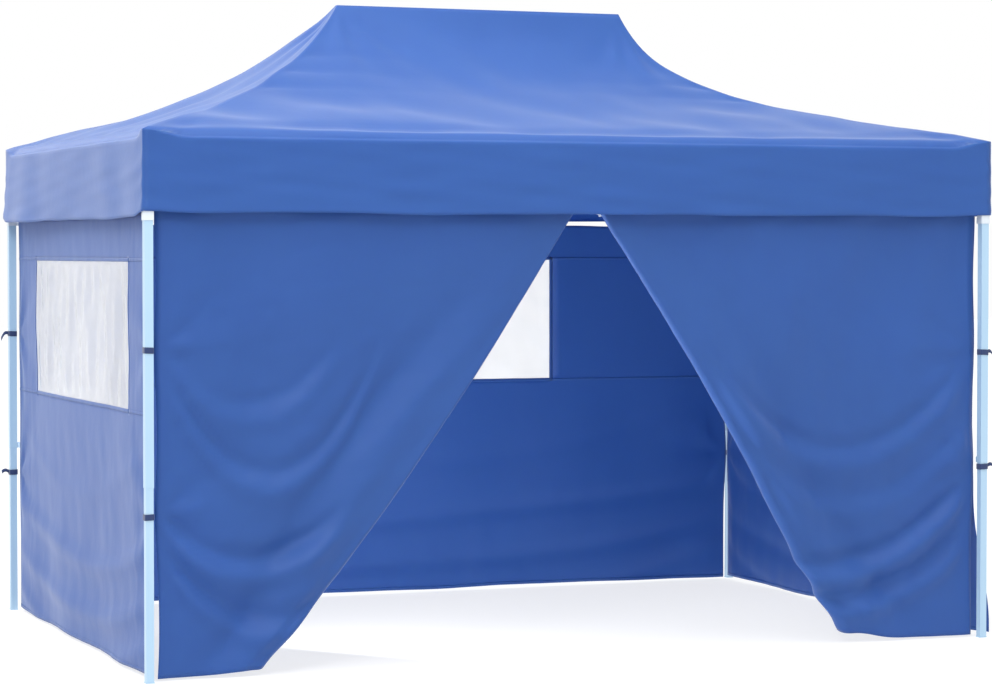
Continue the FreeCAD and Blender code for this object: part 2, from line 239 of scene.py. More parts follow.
def drop_loose(piece: bpy.types.Object) -> None:
    """Remove the points that no face uses."""
    work = bmesh.new()
    work.from_mesh(piece.data)
    bmesh.ops.delete(work, geom=[v for v in work.verts if not v.link_faces], context="VERTS")
    work.to_mesh(piece.data)
    work.free()


def lines(*stops: tuple[float, int]) -> np.ndarray:
    """Grid lines through given stops.

    Args:
        stops: Pairs of (place, number of steps from the stop before).

    Returns:
        Increasing places, each stop once.
    """
    out = [np.array([stops[0][0]])]
    for (start, _), (end, count) in zip(stops, stops[1:]):
        out.append(np.linspace(start, end, count + 1)[1:])
    return np.concatenate(out)


# ---------------------------------------------------------------- finishes

def linear(hex_colour: str) -> tuple[float, float, float, float]:
    """Turn an sRGB hex colour to linear RGBA.

    Args:
        hex_colour: Six hex digits.

    Returns:
        Linear red, green, blue and an alpha of 1.
    """
    raw = [int(hex_colour[k:k + 2], 16) / 255.0 for k in (0, 2, 4)]
    done = [c / 12.92 if c <= 0.04045 else ((c + 0.055) / 1.055) ** 2.4 for c in raw]
    return (done[0], done[1], done[2], 1.0)


class Maker:
    """Adds nodes to one material."""

    def __init__(self, name: str) -> None:
        """Make the material and find its shader.

        Args:
            name: The material's name.
        """
        self.material = bpy.data.materials.new(name)
        self.material.use_nodes = True
        self.tree = self.material.node_tree
        self.shader = self.tree.nodes["Principled BSDF"]

    def add(self, kind: str, settings: dict | None = None,
            inputs: dict | None = None) -> bpy.types.ShaderNode:
        """Add a node with its settings and its input values or links.

        Args:
            kind: The node's type name without its ShaderNode prefix.
            settings: Attribute values of the node.
            inputs: Input name or index to a value, or to an output socket to link from.

        Returns:
            The new node.
        """
        made = self.tree.nodes.new("ShaderNode" + kind)
        for key, value in (settings or {}).items():
            setattr(made, key, value)
        for key, value in (inputs or {}).items():
            self.feed(made.inputs[key], value)
        return made

    def feed(self, socket: bpy.types.NodeSocket, value: object) -> None:
        """Set an input's value, or link an output to it.

        Args:
            socket: The input.
            value: A plain value, or the output socket to link from.
        """
        if isinstance(value, bpy.types.NodeSocket):
            self.tree.links.new(value, socket)
        else:
            socket.default_value = value

    def shade(self, **values) -> None:
        """Set the shader's sockets; an underscore stands for a space in a socket's name."""
        for key, value in values.items():
            self.feed(self.shader.inputs[key.replace("_", " ")], value)

    def blend(self, share: bpy.types.NodeSocket, low: str, high: str) -> bpy.types.NodeSocket:
        """Colour between two sRGB hex values by share.

        Args:
            share: Output socket from 0 to 1.
            low: Colour at 0.
            high: Colour at 1.

        Returns:
            The colour socket.
        """
        ramp = self.add("ValToRGB", inputs={"Fac": share})
        ramp.color_ramp.elements[0].color = linear(low)
        ramp.color_ramp.elements[1].color = linear(high)
        return ramp.outputs["Color"]


@dataclass(frozen=True)
class CoatedPolyester:
    """Woven polyester with a thin polyurethane coat: matt, faint sheen, a fine plain weave."""

    name: str
    shade_low: str
    shade_high: str
    sheen: float = 0.28
    roughness: float = 0.62
    glow: float = 0.5         # share of the light that passes through the thin cloth
    thread: float = 0.004     # real 0.5 mm threads drawn 4 mm wide, the least that can show

    def build(self) -> bpy.types.Material:
        """Make the material: mottled dye, crossed threads and small creases in bump."""
        m = Maker(self.name)
        place = m.add("TexCoord").outputs
        cloud = m.add("TexNoise", inputs={"Vector": place["Object"], "Scale": 1.6, "Detail": 4.0})
        tint = m.blend(cloud.outputs["Fac"], self.shade_low, self.shade_high)
        turns = 1.0 / (self.thread * 6.2832)
        warp = m.add("TexWave", {"bands_direction": "X"}, {"Vector": place["UV"], "Scale": turns * 3.1416})
        weft = m.add("TexWave", {"bands_direction": "Y"}, {"Vector": place["UV"], "Scale": turns * 3.1416})
        weave = m.add("Math", {"operation": "MULTIPLY"}, {0: warp.outputs["Fac"], 1: weft.outputs["Fac"]})
        crease = m.add("TexNoise", inputs={"Vector": place["Object"], "Scale": 14.0,
                                           "Detail": 5.0, "Roughness": 0.6})
        fine = m.add("Bump", inputs={"Height": weave.outputs[0], "Strength": 0.05, "Distance": 0.0006})
        soft = m.add("Bump", inputs={"Height": crease.outputs["Fac"], "Strength": 0.12, "Distance": 0.006,
                                     "Normal": fine.outputs["Normal"]})
        m.shade(Base_Color=tint, Roughness=self.roughness, Normal=soft.outputs["Normal"],
                Sheen_Weight=self.sheen, Sheen_Roughness=0.35, Specular_IOR_Level=0.4,
                Subsurface_Weight=self.glow, Subsurface_Scale=0.004, Subsurface_Radius=(0.6, 0.8, 1.0))
        return m.material


@dataclass(frozen=True)
class ClearVinyl:
    """Pressed PVC film, half clear and milky, with soft ripples left from folding."""

    name: str = "clear vinyl film"

    def build(self) -> bpy.types.Material:
        """Make the material: milky transmission with rippled gloss, and painted bluish shade in the hollows
        of the ripples.
        """
        m = Maker(self.name)
        place = m.add("TexCoord").outputs
        flow = m.add("TexNoise", inputs={"Vector": place["Object"], "Scale": 1.7,
                                         "Detail": 2.0, "Distortion": 1.6})
        bump = m.add("Bump", inputs={"Height": flow.outputs["Fac"], "Strength": 0.25, "Distance": 0.02})
        # painted shade: the ripple noise that drives the bump also tints the film pale blue in its hollows
        # and white on its crests
        tint = m.blend(flow.outputs["Fac"], "eef4fb", "ffffff")
        m.shade(Base_Color=tint, Roughness=0.16, Transmission_Weight=0.38, IOR=1.2,
                Normal=bump.outputs["Normal"], Coat_Weight=0.3, Coat_Roughness=0.08,
                Subsurface_Weight=0.9, Subsurface_Scale=0.01, Subsurface_Radius=(1.0, 1.0, 1.0))
        return m.material


@dataclass(frozen=True)
class PowderCoat:
    """Polyester powder coat on steel tube: pale, satin, with a very fine orange peel."""

    name: str
    low: str
    high: str

    def build(self) -> bpy.types.Material:
        """Make the material: faint tone drift, and orange peel in bump."""
        m = Maker(self.name)
        place = m.add("TexCoord").outputs
        drift = m.add("TexNoise", inputs={"Vector": place["Object"], "Scale": 2.2, "Detail": 2.0})
        peel = m.add("TexNoise", inputs={"Vector": place["Object"], "Scale": 420.0, "Detail": 1.0})
        bump = m.add("Bump", inputs={"Height": peel.outputs["Fac"], "Strength": 0.06, "Distance": 0.0005})
        m.shade(Base_Color=m.blend(drift.outputs["Fac"], self.low, self.high), Roughness=0.34,
                Normal=bump.outputs["Normal"], Coat_Weight=0.15, Coat_Roughness=0.2)
        return m.material


@dataclass(frozen=True)
class MouldedPlastic:
    """Moulded nylon or acetal: fine spark-eroded grain, slightly worn."""

    name: str
    low: str
    high: str
    roughness: float = 0.5

    def build(self) -> bpy.types.Material:
        """Make the material: grain in bump, and rubbed lighter patches."""
        m = Maker(self.name)
        place = m.add("TexCoord").outputs
        rub = m.add("TexNoise", inputs={"Vector": place["Object"], "Scale": 30.0, "Detail": 4.0})
        grain = m.add("TexVoronoi", inputs={"Vector": place["Object"], "Scale": 900.0})
        bump = m.add("Bump", inputs={"Height": grain.outputs["Distance"],
                                     "Strength": 0.15, "Distance": 0.0003})
        m.shade(Base_Color=m.blend(rub.outputs["Fac"], self.low, self.high),
                Roughness=self.roughness, Normal=bump.outputs["Normal"])
        return m.material


@dataclass(frozen=True)
class Webbing:
    """Woven polypropylene tape, ribbed along its length."""

    name: str = "navy webbing"

    def build(self) -> bpy.types.Material:
        """Make the material: 1.5 mm ribs in bump over a deep navy, with painted shade that darkens the
        grooves and lightens the rib tops.
        """
        m = Maker(self.name)
        place = m.add("TexCoord").outputs
        rib = m.add("TexWave", {"bands_direction": "Z"},
                    {"Vector": place["Object"], "Scale": 105.0, "Distortion": 0.3})
        bump = m.add("Bump", inputs={"Height": rib.outputs["Fac"], "Strength": 0.4, "Distance": 0.0008})
        # painted shade: the rib height also sets the colour, darker navy in the grooves and lighter on the
        # rib tops
        m.shade(Base_Color=m.blend(rib.outputs["Fac"], "14264d", "21396c"), Roughness=0.78,
                Sheen_Weight=0.3, Normal=bump.outputs["Normal"])
        return m.material


class Finishes:
    """The object's materials, made once."""

    def __init__(self) -> None:
        """Build every finish."""
        self.canopy = CoatedPolyester("canopy coated polyester", "214e94", "27559b").build()
        self.wall = CoatedPolyester("wall coated polyester", "204b91", "265297").build()
        self.film = ClearVinyl().build()
        self.webbing = Webbing().build()
        self.slots = {
            "leg_tube": PowderCoat("pale powder coat", "a0bfd8", "abc8de").build(),
            "truss_tube": PowderCoat("white powder coat", "dfe6ee", "eef2f6").build(),
            "fitting": MouldedPlastic("moulded nylon", "c9d2dc", "d8e0e8").build(),
            "button": MouldedPlastic("moulded acetal", "8e1c19", "a02722", 0.38).build(),
        }


# ---------------------------------------------------------------- pieces

def dress(piece: bpy.types.Object, material: bpy.types.Material, body: str) -> None:
    """Give a piece its material and body.

    Args:
        piece: The new piece.
        material: Its finish.
        body: The CAD body that it rides on.
    """
    piece.data.materials.clear()
    piece.data.materials.append(material)
    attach(piece, body)


@dataclass
class Canopy:
    """Roof and valance: one continuous slack sheet over the peak posts."""

    frame: FrameMeasures
    finishes: Finishes
    eave_z: float = 2.528
    ridge_half: float = 0.7915
    ridge_half_width: float = 0.012
    corner: float = 0.02
    hem: float = 0.025
    side_steps: tuple[int, int] = (110, 76)
    body: str = "hub_left"

    def outline(self) -> tuple[np.ndarray, np.ndarray, np.ndarray]:
        """Perimeter of the eave, anticlockwise from the front left corner.

        Returns:
            x and y in shares of the half sizes (-1 to 1), and the run length in metres.
        """
        nx, ny = self.side_steps
        a = np.linspace(-1.0, 1.0, nx, endpoint=False)
        b = np.linspace(-1.0, 1.0, ny, endpoint=False)
        a, b = np.sin(a * math.pi / 2.0) * 0.35 + a * 0.65, np.sin(b * math.pi / 2.0) * 0.35 + b * 0.65
        x = np.concatenate([a, np.ones(ny), -a, -np.ones(ny)])
        y = np.concatenate([-np.ones(nx), b, np.ones(nx), -b])
        step = np.hypot(np.diff(x) * self.frame.canopy_x, np.diff(y) * self.frame.canopy_y)
        return x, y, np.concatenate([[0.0], np.cumsum(step)])

    def profile(self, s: np.ndarray, x: np.ndarray) -> np.ndarray:
        """Height share at plan share s; the right hips hang slacker than the left ones.

        Args:
            s: Plan share from eave (0) to ridge (1).
            x: Place along the ridge, metres, which blends the two slopes.

        Returns:
            Height share from 0 to 1.
        """
        left = 0.5 * s + 0.5 * s ** 3.5
        right = 0.42 * s + 0.33 * s ** 4 + 0.25 * s ** 16
        share = smooth(x, -1.3, 1.3)
        return left * (1.0 - share) + right * share

    def surface(self) -> tuple[np.ndarray, np.ndarray]:
        """Grid from the valance hem up to the ridge.

        Returns:
            Points (rows, columns, 3) and flat coordinates (rows, columns, 2).
        """
        f = self.frame
        px, py, run = self.outline()
        drop = self.eave_z - f.hem_z
        valance = np.concatenate([[0.0, 0.012], np.linspace(self.hem, drop - 0.012, 20)])
        low = np.broadcast_to(valance[:, None], (valance.size, px.size))
        s = 1.0 - (1.0 - np.linspace(0.0, 1.0, 52)) ** 1.25
        s = np.broadcast_to(s[:, None], (s.size, px.size))
        x0, y0 = px * f.canopy_x, py * f.canopy_y
        x1, y1 = px * self.ridge_half, py * self.ridge_half_width
        roof_x, roof_y = x0 + (x1 - x0) * s, y0 + (y1 - y0) * s
        rise = f.ridge_z - self.eave_z
        roof_z = self.eave_z + rise * self.profile(s, roof_x)
        roof = np.stack([roof_x, roof_y, roof_z], axis=-1)
        roof = self.wrinkle_roof(roof, s, px, py)
        roof[..., 0] -= (0.020 * px * np.exp(-s / 0.012) * (np.abs(px) >= 1.0)
                         * smooth(1.0 - np.abs(py), 0.035, 0.10))
        roof[..., 1] -= (0.020 * py * np.exp(-s / 0.012) * (np.abs(py) >= 1.0)
                         * smooth(1.0 - np.abs(px), 0.025, 0.08))
        side = np.stack([np.broadcast_to(x0, low.shape), np.broadcast_to(y0, low.shape),
                         f.hem_z + low], axis=-1)
        side = self.wrinkle_valance(side, low, drop, px, py)
        points = np.concatenate([side, roof], axis=0)
        slope = np.concatenate([low, drop + s * 1.65], axis=0)
        flat = np.stack([np.broadcast_to(run, slope.shape), slope], axis=-1)
        return points, flat

    def wrinkle_roof(self, p: np.ndarray, s: np.ndarray, px: np.ndarray, py: np.ndarray) -> np.ndarray:
        """Add sag between the hips, soft creases along the slope and pulls at the ridge ends.

        Args:
            p: Roof points.
            s: Plan share of each row.
            px: Perimeter x share.
            py: Perimeter y share.

        Returns:
            The moved points.
        """
        inside = smooth(s, 0.0, 0.12) * (1.0 - smooth(s, 0.93, 1.0))
        free = 1.0 - np.maximum(np.abs(px), np.abs(py)) * np.minimum(np.abs(px), np.abs(py))
        sag = -0.018 * inside * free
        cloth = 0.006 * Ripple(11, 0.75, (1.0, 0.6)).at(p[..., 0], p[..., 1])
        cloth += 0.002 * Ripple(12, 0.26, (1.0, 2.0)).at(p[..., 0], p[..., 1])
        for end in (-1.0, 1.0):
            dx, dy = p[..., 0] - end * self.ridge_half, p[..., 1]
            away = np.hypot(dx, dy)
            turn = np.arctan2(dy, dx)
            pull = np.exp(-away / 0.38) * smooth(away, 0.02, 0.18)
            cloth += 0.011 * pull * np.sin(9.0 * turn + 1.3 * end)
        for k, (cx, cy) in enumerate(((-1, -1), (1, -1), (1, 1), (-1, 1))):
            dx = p[..., 0] - cx * self.frame.canopy_x
            dy = p[..., 1] - cy * self.frame.canopy_y
            away = np.hypot(dx, dy)
            turn = np.arctan2(dy * cy, dx * cx)
            cloth += 0.008 * np.exp(-away / 0.45) * smooth(away, 0.02, 0.2) * np.sin(8.0 * turn + k)
        lengthwise = (np.abs(py) >= 1.0) * smooth(1.0 - np.abs(px), 0.0, 0.05)
        for place, end in ((0.80, -1.0), (0.69, -1.0), (0.57, -1.0), (0.76, 1.0), (0.66, 1.0)):
            cloth -= 0.011 * lengthwise * bell(s, place, 0.024) * np.exp(-(1.0 - end * px) / 0.24)
        p[..., 2] += sag + cloth * inside
        corner = smooth(np.abs(px), 0.93, 1.0) * smooth(np.abs(py), 0.90, 1.0)
        p[..., 2] -= 0.034 * np.exp(-s / 0.030) * (1.0 - 0.75 * corner)
        p[..., 2] -= 0.016 * bell(s, 0.09, 0.05) * (1.0 - corner)
        return p

    def wrinkle_valance(self, p: np.ndarray, up: np.ndarray, drop: float, px: np.ndarray,
                        py: np.ndarray) -> np.ndarray:
        """Add hanging waves to the valance, a thicker hem, and a hem that sags between the legs.

        Args:
            p: Valance points.
            up: Height above the hem.
            drop: Height of the valance.
            px: Perimeter x share.
            py: Perimeter y share.

        Returns:
            The moved points.
        """
        low = 1.0 - up / drop
        normal_x = np.where(np.abs(px) >= 1.0, np.sign(px), 0.0) * (np.abs(py) < 1.0)
        normal_y = np.where(np.abs(py) >= 1.0, np.sign(py), 0.0)
        along = p[..., 0] * np.abs(normal_y) + p[..., 1] * np.abs(normal_x)
        seat = np.minimum(1.0 - np.abs(px) * np.abs(normal_y), 1.0 - np.abs(py) * np.abs(normal_x))
        free = smooth(seat, 0.0, 0.10)
        wave = 0.006 * Ripple(21, 0.55, (1.0, 2.4)).at(along + 3.0 * normal_x, p[..., 2])
        wave += 0.0025 * Ripple(22, 0.20, (2.2, 0.5)).at(along + 5.0 * normal_x, p[..., 2])
        out = wave * (0.35 + 0.65 * low) * (0.25 + 0.75 * free)
        top = up / drop
        corner = 1.0 - smooth(seat, 0.035, 0.10)
        out = out + np.where(up <= self.hem, 0.0009, 0.0)
        from_corner = seat * np.where(np.abs(normal_y) > 0, self.frame.canopy_x, self.frame.canopy_y)
        out = out + 0.0028 * (1.0 + np.sin(up * 62.0 + 9.0 * from_corner)) * np.exp(-from_corner / 0.14) * low
        out = out - 0.020 * smooth(top, 0.86, 1.0) ** 2 * (1.0 - corner)
        out = out - 0.002 * corner * bell(top, 0.80, 0.13)
        left_side = (normal_x < 0) * bell(p[..., 1], 1.05, 0.45) * low ** 1.5
        out = out + 0.036 * left_side
        p[..., 0] += out * normal_x
        p[..., 1] += out * normal_y
        p[..., 2] -= 0.034 * smooth(top, 0.80, 1.0) ** 2 * (1.0 - 0.75 * corner)
        sag = (0.007 + 0.020 * (normal_x < 0)) * free * low ** 3
        p[..., 2] -= sag * (1.0 + (0.4 - 0.3 * (normal_x < 0)) * Ripple(23, 0.8).at(along, along * 0.0))
        return p

    def build(self) -> bpy.types.Object:
        """Make the canopy piece and its fold.

        Returns:
            The canopy object.
        """
        points, flat = self.surface()
        piece = sheet_object("canopy_cover", points, flat, closed=True)
        close_ridge(piece, points.shape[1])
        dress(piece, self.finishes.canopy, self.body)
        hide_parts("canopy")
        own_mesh(piece)
        return piece


def close_ridge(piece: bpy.types.Object, columns: int) -> None:
    """Close the narrow slot left along the ridge.

    Args:
        piece: The canopy object.
        columns: Points in a ring.
    """
    work = bmesh.new()
    work.from_mesh(piece.data)
    work.verts.ensure_lookup_table()
    ring = [work.verts[len(work.verts) - columns + k] for k in range(columns)]
    around = set(ring)
    edges = [e for e in work.edges if e.is_boundary and e.verts[0] in around]
    bmesh.ops.holes_fill(work, edges=edges, sides=0)
    bmesh.ops.triangulate(work, faces=[f for f in work.faces if len(f.verts) > 4])
    work.to_mesh(piece.data)
    work.free()


class Side(Enum):
    """The three full walls, each with the direction that it faces."""

    REAR = "rear"
    LEFT = "left"
    RIGHT = "right"


@dataclass
class Wall:
    """A side wall with a film window, tied to its legs and hanging in slack folds."""

    side: Side
    body: str
    frame: FrameMeasures
    finishes: Finishes
    seed: int
    window_half: float = 1.0
    window_low: float = 1.215
    window_high: float = 1.925
    ties: tuple[float, ...] = STRAP_LEVELS
    binding: float = 0.018

    def __post_init__(self) -> None:
        """Work out the wall's plane and length."""
        f = self.frame
        self.half = f.wall_half_x if self.side is Side.REAR else f.wall_half_y
        self.top = f.rear_top if self.side is Side.REAR else f.side_top

    def place(self, u: np.ndarray, z: np.ndarray, out: np.ndarray) -> np.ndarray:
        """Turn wall coordinates to the row frame.

        Args:
            u: Along the wall: +X on the rear, +Y on both sides.
            z: Height.
            out: Distance outward from the wall's plane.

        Returns:
            Points with a last axis of 3.
        """
        f = self.frame
        if self.side is Side.REAR:
            return np.stack([u, f.wall_y + out, z], axis=-1)
        sign = -1.0 if self.side is Side.LEFT else 1.0
        return np.stack([sign * (f.wall_x + out), u, z], axis=-1)

    def relief(self, u: np.ndarray, z: np.ndarray) -> np.ndarray:
        """Outward offset of the hanging cloth.

        The sum of a broad billow, vertical gathers from the top rail, fine creases, folds that
        hang in a U between the lower ties, and short pulls round each tie.

        Args:
            u: Along the wall.
            z: Height.

        Returns:
            Offset in metres.
        """
        f = self.frame
        share = np.clip(np.abs(u) / self.half, 0.0, 1.0)
        down = (self.top - z) / (self.top - f.wall_hem)
        held = 1.0 - smooth(share, 0.93, 1.0)
        out = 0.012 * Ripple(self.seed, 1.1, (0.8, 1.6)).at(u, z) * down
        out += 0.0013 * Ripple(self.seed + 1, 0.34, (0.6, 2.6)).at(u, z) * (0.3 + down)
        out += 0.0005 * Ripple(self.seed + 2, 0.12, (0.8, 1.8)).at(u, z)
        for k, level in enumerate((0.62, 0.40, 0.20, 1.10)):
            hang = level - (0.20 + 0.05 * k) * (1.0 - share ** 2) + 0.02 * np.sin(2.2 * u + k)
            out += (0.016 if level < 1.0 else 0.004) * bell(z, hang, 0.055) * (1.0 - 0.6 * share ** 4)
        for edge in (-1.0, 1.0):
            for level in self.ties:
                du, dz = (self.half - edge * u), z - level
                away = np.hypot(du, dz)
                turn = np.arctan2(dz, du + 1e-6)
                out += (0.009 * np.exp(-away / 0.33) * smooth(away, 0.01, 0.12)
                        * np.sin(6.0 * turn + 0.6 * edge))
        out = out * held
        if self.side is Side.RIGHT:
            flare = (1.0 - smooth(u, -self.half, -self.half + 0.30)) * (1.0 - smooth(z, 0.05, 0.75))
            out = out + 0.105 * flare
        return out

    def edge_slack(self, z: np.ndarray) -> np.ndarray:
        """How far the wall's edge draws in from its leg, nothing at a tie and most between two."""
        pinned = np.zeros_like(z)
        for level in (*self.ties, self.top):
            pinned = np.maximum(pinned, bell(z, level, 0.20))
        return 0.016 * (1.0 - pinned)

    def spread(self, u: np.ndarray, z: np.ndarray) -> np.ndarray:
        """Draw the outermost part of the cloth in by the edge slack."""
        near = smooth(np.abs(u) / self.half, 0.86, 1.0)
        return u - np.sign(u) * near * self.edge_slack(z)

    def top_wave(self, u: np.ndarray, z: np.ndarray) -> np.ndarray:
        """Small dips of the top edge between its fixings, and small lifts of the hem.

        Args:
            u: Along the wall.
            z: Height, as cut.

        Returns:
            The new height.
        """
        f = self.frame
        near_top = smooth(z, self.top - 0.25, self.top)
        dip = 0.007 * (1.0 + Ripple(self.seed + 5, 0.7).at(u, u * 0.0))
        near_hem = 1.0 - smooth(z, f.wall_hem, f.wall_hem + 0.2)
        lift = 0.004 * (1.0 + Ripple(self.seed + 6, 0.9).at(u, u * 0.0))
        return z - dip * near_top + lift * near_hem

    def at(self, u: np.ndarray, z: np.ndarray, proud: float = 0.0) -> np.ndarray:
        """Points of the hanging wall, or of something proud of it.

        Args:
            u: Along the wall, as cut.
            z: Height, as cut.
            proud: Extra outward offset.

        Returns:
            Points with a last axis of 3.
        """
        u, z = np.broadcast_arrays(u, z)
        return self.place(self.spread(u, z), self.top_wave(u, z), self.relief(u, z) + proud)

    def finish(self, piece: bpy.types.Object, material: bpy.types.Material) -> bpy.types.Object:
        """Dress a piece of this wall and fold it with the frame.

        Args:
            piece: The object to dress.
            material: Its cloth or film.

        Returns:
            The same object.
        """
        dress(piece, material, self.body)
        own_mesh(piece)
        return piece

    def tape(self, name: str, runs: list[tuple[np.ndarray, np.ndarray]], width: float) -> bpy.types.Object:
        """Sewn tapes that lie on both faces of the cloth.

        Args:
            name: Piece name.
            runs: For each tape, arrays u and z along its middle line.
            width: Tape width.

        Returns:
            One object with every tape in it.
        """
        across = np.linspace(-width / 2, width / 2, 3)
        grids, flats = [], []
        for u, z in runs:
            flat_run = np.ptp(z) < 1e-6
            du = 0.0 if flat_run else 1.0
            gu = u[:, None] + across[None, :] * du
            gz = z[:, None] + across[None, :] * (1.0 - du)
            grids.append(self.at(gu, gz))
            flats.append(np.stack([gu, gz], axis=-1))
        parts = [sheet_object("%s_part" % name, g, w, thickness=0.0) for g, w in zip(grids, flats)]
        piece = join(name, parts)
        solid = piece.modifiers.new("tape thickness", "SOLIDIFY")
        solid.thickness = 2.0 * TAPE_PROUD + CLOTH
        solid.offset = 0.0
        return piece

    def build(self) -> list[bpy.types.Object]:
        """Make the cloth, the film, the window's binding and the seam tapes.

        Returns:
            The pieces of this wall.
        """
        f, w = self.frame, self.window_half
        name = "wall_%s" % self.side.value
        edge = 0.14
        u = lines((-self.half, 0), (-self.half + edge, 10), (-w, 16), (w, 56),
                  (self.half - edge, 16), (self.half, 10))
        z = lines((f.wall_hem, 0), (self.window_low, 52), (self.window_high, 26), (self.top, 10))
        grid_u, grid_z = np.meshgrid(u, z)
        middle_u, middle_z = (u[1:] + u[:-1]) / 2, (z[1:] + z[:-1]) / 2
        inside = (middle_z > self.window_low) & (middle_z < self.window_high)
        hole = (np.abs(middle_u)[None, :] < w) & inside[:, None]
        flat = np.stack([grid_u, grid_z], axis=-1)
        cloth = sheet_object("%s_cloth" % name, self.at(grid_u, grid_z), flat, keep=~hole)
        self.finish(cloth, self.finishes.wall)
        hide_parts(name)

        lap = self.binding / 2
        fu, fz = np.meshgrid(np.linspace(-w - lap, w + lap, 90),
                             np.linspace(self.window_low - lap, self.window_high + lap, 44))
        inner = (1.0 - smooth(np.abs(fu) / w, 0.88, 1.0)) * smooth(fz, self.window_low, self.window_low + 0.1)
        inner = inner * (1.0 - smooth(fz, self.window_high - 0.1, self.window_high))
        wrinkle = 0.007 * Ripple(self.seed + 8, 0.42, (0.55, 1.7)).at(fu, fz) * inner
        points = self.at(fu, fz) + (self.place(fu, fz, wrinkle) - self.place(fu, fz, wrinkle * 0.0))
        film = sheet_object("window_film_%s" % self.side.value, points,
                            np.stack([fu, fz], axis=-1), thickness=0.0006)
        self.finish(film, self.finishes.film)

        along = np.linspace(-w - lap, w + lap, 90)
        upright = np.linspace(self.window_low - lap, self.window_high + lap, 40)
        frame_runs = [(along, along * 0 + self.window_low), (along, along * 0 + self.window_high),
                      (upright * 0 - w, upright), (upright * 0 + w, upright)]
        binding = self.finish(self.tape("window_binding_%s" % self.side.value, frame_runs, self.binding),
                              self.finishes.wall)
        seams = []
        for end in (-1.0, 1.0):
            run = np.linspace(w + lap, self.half - 0.004, 40) * end
            seams += [(run, run * 0 + self.window_low), (run, run * 0 + self.window_high)]
        whole = np.linspace(-self.half + 0.002, self.half - 0.002, 130)
        seams.append((whole, whole * 0 + f.wall_hem + 0.012))
        seam = self.finish(self.tape("seams_%s" % self.side.value, seams, 0.014), self.finishes.wall)

        return [cloth, film, binding, seam]


def join(name: str, parts: list[bpy.types.Object]) -> bpy.types.Object:
    """Join mesh objects into one.

    Args:
        name: Name of the joined piece.
        parts: Objects to join; all but the first are removed.

    Returns:
        The joined object.
    """
    with bpy.context.temp_override(active_object=parts[0], selected_editable_objects=parts):
        bpy.ops.object.join()
    parts[0].name = name
    parts[0].data.name = name
    return parts[0]


